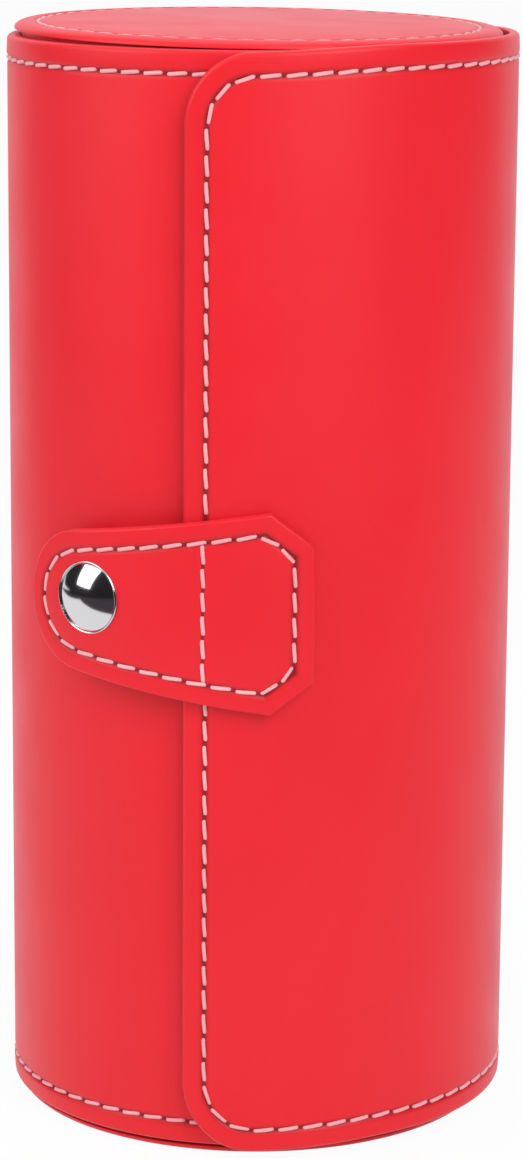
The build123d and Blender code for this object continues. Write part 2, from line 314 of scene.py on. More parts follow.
# %% Black cloth
dark_material, dark_nodes, dark_links, dark_output = new_material("black_cloth")
cloth_shader = dark_nodes.new("ShaderNodeBsdfDiffuse")
cloth_shader.inputs["Color"].default_value = (0.055, 0.048, 0.055, 1)
dark_links.new(cloth_shader.outputs[0], dark_output.inputs["Surface"])
for card in dark_cards:
    card.data.materials.append(dark_material)
    card.visible_camera = False
    card.visible_diffuse = False
    card.visible_transmission = False
    card.visible_shadow = False

# %% [markdown]
# Three soft boxes light the case: a strong one from the front right, a weaker one from the left like a
# window, and a small one from above and behind for the top. One big lamp would be simpler, but then the round
# wall would have no bright and dark sides to show its shape.

# %% Lamps
case_middle = (cad_low + cad_high) / 2


def soft_box(name, bearing, elevation, distance, width, height, power):
    """An area lamp that looks at the middle of the case from a bearing and an elevation in degrees."""
    b, e = math.radians(bearing), math.radians(elevation)
    away = Vector((math.sin(b) * math.cos(e), -math.cos(b) * math.cos(e), math.sin(e)))
    bpy.ops.object.light_add(type="AREA", location=case_middle + away * distance)
    lamp = bpy.context.object
    lamp.name = name
    lamp.rotation_euler = away.to_track_quat("Z", "Y").to_euler()
    lamp.data.shape = "RECTANGLE"
    lamp.data.size = width
    lamp.data.size_y = height
    lamp.data.energy = power
    lamp.visible_camera = False
    return lamp


soft_box("key_light", 31, 37, 1.0, 0.62, 0.7, 6.7)
soft_box("window_light", -68, 31, 0.9, 0.62, 0.6, 3.8)
soft_box("top_light", 200, 76, 0.9, 0.5, 0.5, 1.3)
print("stage, world, dark wall and three soft boxes")

# %% [markdown]
# ## Leather, made flat and then rolled
# The maker cuts each leather flat, turns its edges over the board, sews it and only then bends it round the
# case. The lesson does the same: a flat panel faces the viewer, its edge is shaped by insets, and a Simple
# Deform bend rolls it up. Modelling on the curve would be possible, but a flat pattern keeps every distance
# from the edge true, and thread and leather roll together.

# %% Sizes from the frame
cover_low, cover_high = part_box("fixed_cover")
flap_low, flap_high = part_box("flap_cover")
tab_low, tab_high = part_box("tab_sewn_face")
joints = {joint["name"]: Vector(joint["pos_m"]) for joint in frame["joints"] if joint["type"] == "hinge"}

case_radius = -cover_low.x
flap_radius = flap_high.x
case_centre = Vector((0, 0, 0))
flap_centre = Vector((0, flap_low.y + flap_radius, 0))
rim_low, rim_high = cover_low.z, cover_high.z
leather = 0.9 * MM
glue = 0.05 * MM
hair = 0.01 * MM
trough_wall = 2.2 * MM
flap_wall = 1.7 * MM
seam_inset = 3.9 * MM

hinge = joints["flap_hinge"]
hinge_on_case = math.radians(bearing_of(hinge)) * case_radius
hinge_on_flap = math.radians(bearing_of(hinge - flap_centre)) * flap_radius
fold_half = 1.6 * MM
mouth = (2 * math.pi + math.asin(cover_high.x / case_radius)) * case_radius
flap_edge = math.asin(flap_low.x / flap_radius) * flap_radius


def along_wall(bearing):
    """The level direction to the right along an upright round wall, where it faces a bearing."""
    turn = math.radians(bearing)
    return Vector((math.cos(turn), math.sin(turn), 0))


print("radii", round(case_radius / MM, 2), round(flap_radius / MM, 2), "mm")

# %% Flat panels
straight = 0.9


def flat_panel(name, left, right, low, high, front):
    """An upright rectangle that faces the viewer, at the depth where its rounded edge starts."""
    bpy.ops.object.select_all(action="DESELECT")
    middle = ((left + right) / 2, front, (low + high) / 2)
    bpy.ops.mesh.primitive_plane_add(size=1, location=middle, rotation=(math.pi / 2, 0, 0))
    panel = bpy.context.object
    panel.name = panel.data.name = name
    panel.scale = (right - left, high - low, 1)
    bpy.ops.object.transform_apply()
    return panel


def draw_out(way):
    """Extrude the selected face away from the viewer, or towards the viewer for less than nought."""
    bpy.ops.mesh.extrude_region_move(TRANSFORM_OT_translate={"value": (0, way, 0)})


def thicken(panel, depth):
    """Turn the flat face into a slab by drawing it forward. The new front face stays selected."""
    choose(panel, "faces", lambda f: True)
    draw_out(-depth)


def choose_back(panel):
    """Select the faces that look straight away from the viewer."""
    choose(panel, "faces", lambda f: f.normal.y > straight)


print("a face looks straight back when its normal does so by", straight, "or more")


# %% [markdown]
# ### The turned edge
# Leather turned over a board has a soft round edge, swells a little behind it and sinks where the thread
# pulls it down. That profile is one small formula of the distance from the outline. Insets follow it ring by
# ring, because an inset keeps the same distance along straight sides and round corners alike. Each ring also
# writes on its corners how creased it is, and the finish paints the groove's shadow darker by that mark.

# %% Edge profile
edge_steps = 5
seam_steps = (-2.2, -1.3, -0.7, 0, 0.7, 1.3, 2.2)
puff_place = 1.6


def edge_rings(round_radius, seam=0, sink=0, width=0, puff=0, run=None):
    """Rings as a distance from the outline, a height above the start of the round edge and how creased they
    are, which also sets the painted seam shade. At the seam the leather sinks, and between the seam and the
    edge it puffs up a little. The run is how far the round edge reaches across, where it is no quarter
    circle."""
    run = run or round_radius
    rings = []
    for step in range(1, edge_steps + 1):
        turn = math.radians(90 * step / edge_steps)
        rings.append((run * (1 - math.cos(turn)), round_radius * math.sin(turn), 0))
    if seam:
        for step in seam_steps:
            crease = math.exp(-(step**2))
            swell = math.exp(-((step + puff_place) ** 2))
            rings.append((seam + step * width, round_radius + puff * swell - sink * crease, crease))
    return rings


def mark_seam_shade(panel, crease):
    """Write on the corners of the selected face how creased the leather is there, for its finish to paint
    seam shade by.
    """
    mesh = bmesh.from_edit_mesh(panel.data)
    layer = mesh.verts.layers.float.get("crease") or mesh.verts.layers.float.new("crease")
    for vertex in mesh.verts:
        if vertex.select:
            vertex[layer] = crease


def press_rings(panel, rings):
    """Inset the selected face once for each ring and return the outline at each ring."""
    outlines = []
    distance, height = 0, 0
    for next_distance, next_height, crease in rings:
        bpy.ops.mesh.inset(
            thickness=next_distance - distance, depth=next_height - height, use_even_offset=True
        )
        distance, height = next_distance, next_height
        mark_seam_shade(panel, crease)
        outlines.append(chosen_outline(panel))
    return outlines


# %% Cutting columns and rolling
def cut_columns(panel, places):
    """Cut the whole panel at upright planes, so that it can bend."""
    choose(panel, "verts", lambda v: True)
    for place in places:
        bpy.ops.mesh.select_all(action="SELECT")
        bpy.ops.mesh.bisect(plane_co=(place, 0, 0), plane_no=(1, 0, 0))


def trim(panel, place, side):
    """Cut off what lies beyond a place, to the right for side 1 or the left for -1, and close the cut."""
    choose(panel, "verts", lambda v: True)
    bpy.ops.mesh.bisect(plane_co=(place, 0, 0), plane_no=(side, 0, 0), clear_outer=True, use_fill=True)


def roll(piece, radius, centre):
    """Bend a flat piece round an upright axis. Its front, at depth nought, lands on the radius."""
    across = [v.co.x for v in piece.data.vertices]
    angle = (max(across) - min(across)) / radius
    use_modifier(piece, "SIMPLE_DEFORM", deform_method="BEND", deform_axis="Z", angle=angle)
    move(piece, Matrix.Translation(centre - Vector((0, radius, 0))))


def fold_columns(middle, half, cuts, first, last):
    """Places across a fold, so many cuts to each half of it, numbered from its middle."""
    return [middle + half * step / cuts for step in range(first, last + 1)]


def spaced(start, end, step):
    """Evenly spaced places between two ends, both left out."""
    count = max(2, round((end - start) / step))
    return [start + (end - start) * i / count for i in range(1, count)]


column_step = 1.9 * MM
print("a sewn edge has", edge_steps + len(seam_steps), "rings")

# %% [markdown]
# ### The trough's leather
# One leather covers the fixed back of the case, from the fold to the front edge of the mouth. Its panel is
# cut longer than needed at the fold and trimmed there, so that the turned edge runs out square, and its back
# is a shallow tray that the board fits into.

# %% Trough leather
round_edge = 0.85 * MM
seam_sink = 0.42 * MM
seam_width = 0.5 * MM
seam_puff = 0.12 * MM
spare = 14 * MM
inner_round = 0.35 * MM
corner_segments = 12


def wrapped_leather(name, left, right, wall, hem, cut, side, corner=0.0):
    """A leather with turned edges, a seam and a tray for its board. Returns it and its seam's outline."""
    panel = flat_panel(name, left, right, rim_low, rim_high, wall - inner_round)
    if corner:
        choose(panel, "verts", lambda v: (v.co.x - cut) * side < -spare)
        bpy.ops.mesh.bevel(offset=corner, segments=corner_segments, affect="VERTICES")
    thicken(panel, wall - inner_round - round_edge)
    outlines = press_rings(panel, edge_rings(round_edge, seam_inset, seam_sink, seam_width, seam_puff))
    seam = outlines[edge_steps + seam_steps.index(0)]
    choose_back(panel)
    press_rings(panel, edge_rings(inner_round))
    bpy.ops.mesh.inset(thickness=hem - inner_round)
    draw_out(leather - wall)
    cut_columns(panel, spaced(left, right, column_step))
    trim(panel, cut, side)
    bpy.ops.object.mode_set(mode="OBJECT")
    return panel, seam


trough_cut = hinge_on_case + fold_half
trough_leather, trough_seam = wrapped_leather(
    "trough_leather", trough_cut - spare, mouth, trough_wall, leather, trough_cut, -1
)
roll(trough_leather, case_radius, case_centre)
close_up(trough_leather)
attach(trough_leather, "case")
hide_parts("fixed_cover")
print("trough leather", len(trough_leather.data.polygons), "faces")

# %% [markdown]
# ### The flap's leather
# The flap is the same leather carried on over the fold. Its free corners are round, and it bends at the fold
# when the case opens. So this piece reaches a little past the fold, and the fold itself is a shallow groove,
# because no board stiffens the leather there. On the right, between its free end and the fold, the flap has
# crept up by about a millimetre, so the flat piece is lifted there before it is rolled.

# %% Flap leather
flap_corner = 12 * MM
flap_hem = 3.0 * MM
fold_sink = 0.35 * MM
fold_width = 0.9 * MM
flap_climb = 0.95 * MM
climb_start, climb_end = -3 * MM, 26 * MM
climb_fade, climb_gone = 78 * MM, 112 * MM
fold_cuts = 4


def smooth_step(start, end, place):
    """Nought before the start, one after the end and a soft S between them."""
    reach = min(1, max(0, (place - start) / (end - start)))
    return reach * reach * (3 - 2 * reach)


def climb(across):
    """How far the flap has crept up at a place along it."""
    risen = smooth_step(climb_start, climb_end, across)
    back_down = smooth_step(climb_fade, climb_gone, across)
    return flap_climb * risen * (1 - back_down)


def creep_up(piece, kept=lambda place: False):
    """Lift a flat piece by the flap's climb, apart from the places that are kept."""
    for vertex in piece.data.vertices:
        if not kept(vertex.co):
            vertex.co.z += climb(vertex.co.x)


def in_pocket(place):
    """True on the tray that holds the flap's board."""
    inside = min(place.z - rim_low, rim_high - place.z) > flap_hem - hair
    return place.y > leather - hair and inside


flap_cut = hinge_on_flap + fold_half
flap_leather, flap_seam = wrapped_leather(
    "flap_leather", flap_edge, flap_cut + spare, flap_wall, flap_hem, flap_cut, 1, flap_corner
)
cut_columns(flap_leather, fold_columns(hinge_on_flap, fold_half, fold_cuts, -6, 3))
bpy.ops.object.mode_set(mode="OBJECT")
for vertex in flap_leather.data.vertices:
    if vertex.co.y < leather / 2:
        vertex.co.y += fold_sink * math.exp(-(((vertex.co.x - hinge_on_flap) / fold_width) ** 2))
creep_up(flap_leather, in_pocket)
roll(flap_leather, flap_radius, flap_centre)
close_up(flap_leather)

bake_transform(flap_leather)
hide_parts("flap_cover")
print("flap leather", len(flap_leather.data.polygons), "faces")

# %% [markdown]
# ### The end discs
# Each end is a stiff disc covered in the same leather, with a soft edge and a sewn ring near it. The padded
# edge stands a little over the rim and leaves a dark gap above it. The disc is a circle pressed with the same
# rings as the panels, then laid down on the case. A spun profile would do as well, but the rings are here.
# The top disc dips by about a degree towards the front right, as a worn lid does.

# %% End discs
disc_low, disc_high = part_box("bottom_disc_cover")
disc_radius = disc_high.x
disc_thickness = disc_high.z - disc_low.z
disc_lip = 1.3 * MM
disc_round = 1.2 * MM
disc_round_run = 2.6 * MM
disc_edge = 0.1 * MM
disc_seam_inset = 4.0 * MM
disc_lean = 0.9
disc_lean_bearing = 40
disc_drop = 0.05 * MM
disc_facets = 160


def face_disc(name, radius, front, facets=disc_facets):
    """A round face towards the viewer, at the depth where its edge starts."""
    bpy.ops.object.select_all(action="DESELECT")
    bpy.ops.mesh.primitive_circle_add(
        vertices=facets,
        radius=radius,
        fill_type="NGON",
        location=(0, front, 0),
        rotation=(math.pi / 2, 0, 0),
    )
    disc = bpy.context.object
    disc.name = disc.data.name = name
    bpy.ops.object.transform_apply()
    return disc


def lay_face_up(height, lean=Matrix()):
    """Turns what faces the viewer to face up, with its front at a height and leaning if asked."""
    return Matrix.Translation((0, 0, height)) @ lean @ Matrix.Rotation(-math.pi / 2, 4, "X")


def lay_face_down(height):
    """Turns what faces the viewer to face down, with its front at a height."""
    return Matrix.Translation((0, 0, height)) @ Matrix.Rotation(math.pi / 2, 4, "X")


top_lean = Matrix.Rotation(math.radians(disc_lean), 4, along_wall(disc_lean_bearing))
ends = (
    ("bottom", lay_face_down(cad_low.z)),
    ("top", lay_face_up(cad_high.z - disc_drop, top_lean)),
)
disc_seams = {}
for end, lay in ends:
    disc = face_disc(end + "_disc_leather", disc_radius + disc_lip, disc_round + disc_edge)
    thicken(disc, disc_edge)
    rings = edge_rings(disc_round, disc_seam_inset, seam_sink, seam_width, run=disc_round_run)
    outlines = press_rings(disc, rings)
    disc_seams[end] = outlines[edge_steps + seam_steps.index(0)]
    choose_back(disc)
    bpy.ops.mesh.inset(thickness=disc_lip)
    neck = disc_thickness - disc_round - disc_edge
    draw_out(neck)
    bpy.ops.mesh.inset(thickness=leather)
    draw_out(leather - disc_thickness)
    close_up(disc)
    move(disc, lay)
    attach(disc, "case")
    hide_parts(end + "_disc_cover")
print("two end discs of radius", round(disc_radius / MM, 1), "mm")

# %% [markdown]
# ### The closure tab
# Two leathers lie back to back and are sewn together round the edge. The tab narrows to a round nose under
# the stud, and its sewn end has two cut corners. A rectangle makes it all: its left end is drawn in, rounded
# by a vertex bevel, and its right corners are cut by bisecting planes. Where the tab folds, a row of stitches
# crosses it and holds it to the flap, so the leather is sunk along that line too.

# %% Tab leathers
nose_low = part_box("tab_face")[0]
fold = joints["tab_fold"]
tab_radius = (fold - flap_centre).xy.length
tab_fold_place = math.radians(bearing_of(fold - flap_centre)) * tab_radius
tab_half = (tab_high.z - tab_low.z) / 2
tab_height = (tab_high.z + tab_low.z) / 2
nose_radius = 12.0 * MM
corner_run = 7.4 * MM
corner_drop = 5.6 * MM
tab_layer = 0.9 * MM
tab_round = 0.5 * MM
tab_seam_inset = 3.4 * MM
tab_fold_half = 1.6 * MM
tab_fold_cuts = 6
tab_back_round = 0.2 * MM
tab_column_step = 1.2 * MM
nose_share = 0.999
nose_segments = 14
nose_merge = 0.1 * MM

tab_left = math.asin(nose_low.x / tab_radius) * tab_radius
tab_right = math.asin(tab_high.x / tab_radius) * tab_radius
side_run = tab_right - tab_left - corner_run
# The slope of the sides and the half width of the nose depend on each other, so each is worked out twice.
side_slope = math.atan2(tab_half - nose_radius, side_run - nose_radius)
nose_half = nose_radius * math.tan(math.pi / 4 - side_slope / 2)
side_slope = math.atan2(tab_half - nose_half, side_run)
nose_half = nose_radius * math.tan(math.pi / 4 - side_slope / 2)


def tab_outline(name, front):
    """The tab's flat outline, facing the viewer."""
    shoulder = tab_right - corner_run
    panel = flat_panel(name, tab_left, tab_right, tab_height - tab_half, tab_height + tab_half, front)
    rise = (tab_half - nose_half) / (shoulder - tab_left)
    for up in (1, -1):
        for place, slope in (
            ((tab_left, 0, tab_height + up * nose_half), (-rise, 0, up)),
            ((tab_right, 0, tab_height + up * (tab_half - corner_drop)), (corner_drop / corner_run, 0, up)),
        ):
            choose(panel, "verts", lambda v: True)
            bpy.ops.mesh.bisect(plane_co=place, plane_no=slope, clear_outer=True)
    choose(panel, "verts", lambda v: v.co.x < tab_left + MM)
    bpy.ops.mesh.bevel(offset=nose_half * nose_share, segments=nose_segments, affect="VERTICES")
    bpy.ops.mesh.select_all(action="SELECT")
    bpy.ops.mesh.remove_doubles(threshold=nose_merge)
    return panel


def seam_reach(outline, across):
    """The highest place where an outline crosses an upright line."""
    highest = []
    for (x, z), (next_x, next_z) in zip(outline, outline[1:] + outline[:1]):
        if (x - across) * (next_x - across) < 0:
            highest.append(z + (next_z - z) * (across - x) / (next_x - x))
    return max(highest)


tab_layers = (("tab_face_leather", 0.0, True), ("tab_back_leather", tab_layer + glue, False))
for name, front, sewn_side in tab_layers:
    layer = tab_outline(name, front + tab_layer - tab_back_round)
    thicken(layer, tab_layer - tab_back_round - tab_round)
    rings = edge_rings(tab_round, tab_seam_inset if sewn_side else 0, seam_sink, seam_width, seam_puff)
    outlines = press_rings(layer, rings)
    if sewn_side:
        tab_seam = outlines[edge_steps + seam_steps.index(0)]
    choose_back(layer)
    press_rings(layer, edge_rings(tab_back_round))
    cut_columns(layer, spaced(tab_left, tab_right, tab_column_step))
    tab_fold_columns = fold_columns(
        tab_fold_place, tab_fold_half, tab_fold_cuts, -tab_fold_cuts, tab_fold_cuts
    )
    cut_columns(layer, tab_fold_columns)
    bpy.ops.object.mode_set(mode="OBJECT")
    if sewn_side:
        cross_half = seam_reach(tab_seam, tab_fold_place) - tab_height
        for vertex in layer.data.vertices:
            if vertex.co.y < tab_layer / 2 and abs(vertex.co.z - tab_height) < cross_half:
                across = (vertex.co.x - tab_fold_place) / seam_width
                vertex.co.y = max(vertex.co.y, seam_sink * math.exp(-(across**2)))
    roll(layer, tab_radius, flap_centre)
    close_up(layer)
    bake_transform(layer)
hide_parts("tab_face", "tab_sewn_face")
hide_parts("tab_backing", "tab_sewn_backing")
print("tab from", round(tab_left / MM, 1), "to", round(tab_right / MM, 1), "mm along the flap")

# %% [markdown]
# ## Suede inside
# The walls are lined with thin suede, glued down with a bare, slightly soft edge, because suede doesn't fray.
# Each lining is a flat panel like the leathers, but it is the face towards the inside that gets the soft
# edge. The flap's lining runs on past the fold, and the trough's lining starts where it ends.

# %% Wall linings
suede = 0.6 * MM
suede_soft = 0.28 * MM
lining_lap = 3.0 * MM
lining_fold_half = 2.4 * MM
lining_gap = 0.05 * MM
lining_low, lining_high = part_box("fixed_lining")
flap_lining_low, flap_lining_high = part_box("flap_lining")
lining_inset = flap_lining_low.z - rim_low


def glued_suede(name, left, right, low, high, depth, corner=0.0):
    """A suede panel whose glued face lies at a depth and whose soft face looks inwards."""
    panel = flat_panel(name, left, right, low, high, depth + suede - suede_soft)
    if corner:
        choose(panel, "verts", lambda v: v.co.x < left + MM)
        bpy.ops.mesh.bevel(offset=corner, segments=corner_segments, affect="VERTICES")
    thicken(panel, suede - suede_soft)
    choose_back(panel)
    press_rings(panel, edge_rings(suede_soft))
    cut_columns(panel, spaced(left, right, column_step))
    bpy.ops.object.mode_set(mode="OBJECT")
    return panel


trough_depth = trough_wall + glue
trough_suede = glued_suede(
    "trough_suede", hinge_on_case + lining_lap, mouth - leather, lining_low.z, lining_high.z, trough_depth
)
roll(trough_suede, case_radius, case_centre)
close_up(trough_suede)
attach(trough_suede, "case")
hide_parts("fixed_lining")

flap_depth = flap_wall + glue
flap_suede = glued_suede(
    "flap_suede",
    flap_edge + lining_inset,
    hinge_on_flap + lining_lap - lining_gap,
    flap_lining_low.z,
    flap_lining_high.z,
    flap_depth,
    flap_corner - lining_inset,
)
cut_columns(flap_suede, fold_columns(hinge_on_flap, lining_fold_half, fold_cuts, -5, 4))
bpy.ops.object.mode_set(mode="OBJECT")
for vertex in flap_suede.data.vertices:
    past = (vertex.co.x - hinge_on_flap) / lining_fold_half
    vertex.co.y += (trough_depth - flap_depth) * min(1, max(0, past))
roll(flap_suede, flap_radius, flap_centre)
close_up(flap_suede)
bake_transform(flap_suede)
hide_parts("flap_lining")
linings = [trough_suede, flap_suede]
print("linings of", len(trough_suede.data.polygons), "and", len(flap_suede.data.polygons), "faces")

# %% [markdown]
# ### Disc linings and dividers
# The inside of each end disc is a suede round. The two dividers are stiff boards with suede glued over both
# faces and drawn over the edge, where the two meet in a fine line. A divider is pressed as one half, from its
# middle outwards, and mirrored, so both faces are alike and the meeting line is a true groove.

# %% Disc linings
for end, lay, level in (
    ("bottom", lay_face_up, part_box("bottom_disc_lining")[1].z),
    ("top", lay_face_down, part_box("top_disc_lining")[0].z),
):
    round_lining = face_disc(end + "_disc_suede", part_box(end + "_disc_lining")[1].x, suede)
    thicken(round_lining, suede - suede_soft)
    press_rings(round_lining, edge_rings(suede_soft))
    close_up(round_lining)
    move(round_lining, lay(level))
    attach(round_lining, "case")
    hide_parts(end + "_disc_lining")
    linings.append(round_lining)

# %% Dividers
divider_groove = 0.18 * MM
divider_round = 0.9 * MM
divider_crown = 0.3 * MM
crown_rings = 10
mirror_merge = 0.02 * MM


def padded_divider(name):
    """A suede-covered disc with a soft edge, slightly crowned, in the place of a divider's nodes."""
    low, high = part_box(name + "_facings")
    half = (high.z - low.z) / 2
    disc = face_disc(name + "_suede", high.x, -divider_groove)
    thicken(disc, half - divider_round - divider_groove)
    rings = edge_rings(divider_round)
    flat = high.x - divider_round
    for step in range(1, crown_rings + 1):
        reach = step / (crown_rings + 1)
        crown = divider_crown * math.sin(reach * math.pi / 2)
        rings.append((divider_round + flat * reach, divider_round + crown, 0))
    press_rings(disc, rings)
    choose_back(disc)
    bpy.ops.mesh.inset(thickness=divider_groove, depth=divider_groove)
    bpy.ops.mesh.delete(type="ONLY_FACE")
    bpy.ops.object.mode_set(mode="OBJECT")
    use_modifier(disc, "MIRROR", use_axis=(False, True, False), merge_threshold=mirror_merge)
    close_up(disc)
    move(disc, lay_face_up((low.z + high.z) / 2))
    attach(disc, "case")
    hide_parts(name, name + "_facings")
    return disc


linings += [padded_divider("lower_divider"), padded_divider("upper_divider")]
print(len(linings), "suede pieces")

# %% [markdown]
# ## Watch cushions
# A watch is kept on a stuffed cushion that its strap closes round. Each one is a velvet sleeve with a panel
# sewn into both ends, and the seams hold the velvet back where the stuffing pushes it out. Carving that bulge
# by hand is guesswork, so it is simulated: the seam is pinned, and air pressure in a cloth blows up the rest.

# %% Cushion block
cushion_swell = 2.4 * MM
cushion_corner = 12 * MM
cushion_heel = 6 * MM
cushion_facets = 96
corner_bevel_segments = 8
heel_bevel_segments = 6
long_edge = 10 * MM
heel_start = -10 * MM
close_by = MM / 10


def cushion_block(name, low, high):
    """A block with a round back, drawn in from the finished cushion by what the stuffing adds."""
    bpy.ops.object.select_all(action="DESELECT")
    bpy.ops.mesh.primitive_cylinder_add(
        vertices=cushion_facets,
        radius=-low.x - cushion_swell,
        depth=high.z - low.z - 2 * cushion_swell,
        location=(0, 0, (low.z + high.z) / 2),
    )
    block = bpy.context.object
    block.name = block.data.name = name
    bpy.ops.object.transform_apply()
    front, side = high.x - cushion_swell, high.y - cushion_swell
    choose(block, "verts", lambda v: True)
    flat_sides = (
        ((front, 0, 0), (1, 0, 0)),
        ((0, side, 0), (0, 1, 0)),
        ((0, -side, 0), (0, -1, 0)),
    )
    for place, way in flat_sides:
        bpy.ops.mesh.select_all(action="SELECT")
        bpy.ops.mesh.bisect(plane_co=place, plane_no=way, clear_outer=True, use_fill=True)

    def upright_at_side(edge):
        """True for a long upright edge of a flat side."""
        places = [v.co for v in edge.verts]
        return abs(places[0].z - places[1].z) > long_edge and abs(places[0].y) > side - close_by

    choose(block, "edges", lambda e: upright_at_side(e) and e.verts[0].co.x > front - close_by)
    bpy.ops.mesh.bevel(offset=cushion_corner - cushion_swell, segments=corner_bevel_segments, affect="EDGES")
    choose(block, "edges", lambda e: upright_at_side(e) and e.verts[0].co.x < heel_start)
    bpy.ops.mesh.bevel(offset=cushion_heel, segments=heel_bevel_segments, affect="EDGES")
    bpy.ops.object.mode_set(mode="OBJECT")
    return block


# %% Stuffing by simulation
stuffing_scale = 10.0
stuffing_pressure = 9.0
stuffing_frames = 20
voxel = 2.2 * MM
pucker_depth = 0.4 * MM
pucker_reach = 4.0 * MM
pucker_count = 34
seam_band = 1.3 * MM
least_turned, most_turned = 0.3, 0.95


def at_seam(vertex, low, high):
    """True on the rim between the sleeve and an end panel."""
    near_end = min(abs(vertex.co.z - low), abs(vertex.co.z - high)) < seam_band
    return near_end and least_turned < abs(vertex.normal.z) < most_turned


def stuff(block, low, high):
    """Blow the block up like a stuffed cover. The cloth is worked at ten times its size, where the solver's
    usual weights fit, and no point moves further than the swelling allows."""
    use_modifier(block, "REMESH", mode="VOXEL", voxel_size=voxel)
    seam = block.vertex_groups.new(name="seam")
    seam.add([v.index for v in block.data.vertices if at_seam(v, low, high)], 1, "REPLACE")
    start = [v.co.copy() for v in block.data.vertices]
    block.data.transform(Matrix.Scale(stuffing_scale, 4))
    select_only(block)
    bpy.ops.object.modifier_add(type="CLOTH")
    cloth = block.modifiers[-1]
    cloth.settings.use_pressure = True
    cloth.settings.uniform_pressure_force = stuffing_pressure
    cloth.settings.effector_weights.gravity = 0
    cloth.settings.vertex_group_mass = seam.name
    cloth.point_cache.frame_end = stuffing_frames
    for frame_number in range(1, stuffing_frames + 1):
        bpy.context.scene.frame_set(frame_number)
    bpy.ops.object.modifier_apply(modifier=cloth.name)
    bpy.context.scene.frame_set(1)
    block.data.transform(Matrix.Scale(1 / stuffing_scale, 4))
    most = 0
    for vertex, first in zip(block.data.vertices, start):
        way = vertex.co - first
        most = max(most, way.length)
        if way.length > cushion_swell:
            vertex.co = first + way * (cushion_swell / way.length)
    use_modifier(block, "SUBSURF", levels=1, render_levels=1)
    return most


def pucker(block, middle):
    """Small gathers that run out from the seams and fade with the distance from them."""
    seam = block.vertex_groups["seam"].index
    pinned = [
        vertex.co
        for vertex in block.data.vertices
        if any(member.group == seam and member.weight > 0.5 for member in vertex.groups)
    ]
    nearest = KDTree(len(pinned))
    for index, place in enumerate(pinned):
        nearest.insert(place, index)
    nearest.balance()
    moves = []
    for vertex in block.data.vertices:
        away = nearest.find(vertex.co)[2]
        turn = math.atan2(vertex.co.y - middle.y, vertex.co.x - middle.x)
        wave = math.sin(pucker_count * turn + 2 * math.sin(3 * turn))
        moves.append(vertex.normal * (pucker_depth * wave * math.exp(-away / pucker_reach)))
    for vertex, way in zip(block.data.vertices, moves):
        vertex.co += way


# %% Welt round each end
welt_radius = 1.25 * MM
welt_inset = 0.9 * MM
welt_smoothing = 6
soft_angle = 80


def welt(name, block, level):
    """A covered cord along the block's outline at a height."""
    select_only(block)
    bpy.ops.object.duplicate()
    ring = bpy.context.object
    ring.name = name
    choose(ring, "verts", lambda v: True)
    bpy.ops.mesh.bisect(plane_co=(0, 0, level), plane_no=(0, 0, 1), clear_inner=True, clear_outer=True)
    bpy.ops.mesh.select_all(action="SELECT")
    bpy.ops.mesh.vertices_smooth(factor=0.5, repeat=welt_smoothing)
    bpy.ops.object.mode_set(mode="OBJECT")
    ring.vertex_groups.clear()
    bpy.ops.object.convert(target="CURVE")
    ring.data.bevel_depth = welt_radius
    ring.data.bevel_resolution = 2
    bpy.ops.object.convert(target="MESH")
    ring = bpy.context.object
    close_up(ring, soft_angle)
    return ring


# %% Three cushions
cushions = []
welts = []
for place in ("lower", "middle", "upper"):
    name = place + "_cushion"
    low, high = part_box(name + "_ends")
    cushion = cushion_block(name + "_velvet", low, high)
    seam_low, seam_high = low.z + cushion_swell, high.z - cushion_swell
    moved = stuff(cushion, seam_low, seam_high)
    for end, level in (("low", seam_low + welt_inset), ("high", seam_high - welt_inset)):
        cord = welt(name + "_" + end + "_welt", cushion, level)
        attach(cord, name)
        welts.append(cord)
    pucker(cushion, (low + high) / 2)
    close_up(cushion, soft_angle)
    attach(cushion, name)
    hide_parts(name + "_core", name + "_sleeve", name + "_ends")
    cushions.append(cushion)
    print(name, len(cushion.data.polygons), "faces, blown up by", round(moved / MM, 2), "mm")

# %% [markdown]
# ## Thread
# A lock stitch shows one short run of thread between every two needle holes, each turned a little from the
# line of the seam. One stitch is modelled and copied from hole to hole, with the holes spaced evenly along
# the outline that the insets left at the seam. A curve with an array would space them too.
# Both ends of a stitch dip into their holes, and each hole is a small slit turned further than the thread,
# coloured dark as painted shade for the inside of the hole.

# %% Sewing
stitch_pitch = 4.25 * MM
stitch_gap = 0.55 * MM
thread_radius = 0.36 * MM
thread_lift = 0.2 * MM
disc_thread_lift = 0.1 * MM
stitch_slant = 5.0
stitch_dip = 0.3 * MM
dip_power = 4
dip_columns = (-0.7, 0, 0.7)
thread_sides = 7
thread_end_share = 0.75
hole_lift = 0.06 * MM
slit_slant = 4 * stitch_slant
slit_half = (0.34 * MM, 0.1 * MM, 0.58 * MM)
whisker = MM * MM


def one_stitch():
    """A run of thread that lies across and dips into its needle holes at both ends."""
    half = (stitch_pitch - stitch_gap) / 2
    bpy.ops.object.select_all(action="DESELECT")
    bpy.ops.mesh.primitive_cylinder_add(vertices=thread_sides, radius=thread_radius, depth=2 * half)
    stitch = bpy.context.object
    choose(stitch, "edges", lambda e: abs(e.verts[0].co.z - e.verts[1].co.z) < close_by)
    bpy.ops.mesh.bevel(offset=thread_radius * thread_end_share, segments=1, affect="EDGES")
    bpy.ops.object.mode_set(mode="OBJECT")
    move(stitch, Matrix.Rotation(math.pi / 2, 4, "Y"))
    cut_columns(stitch, [half * step for step in dip_columns])
    bpy.ops.object.mode_set(mode="OBJECT")
    for vertex in stitch.data.vertices:
        vertex.co.y += stitch_dip * (vertex.co.x / half) ** dip_power
    return stitch


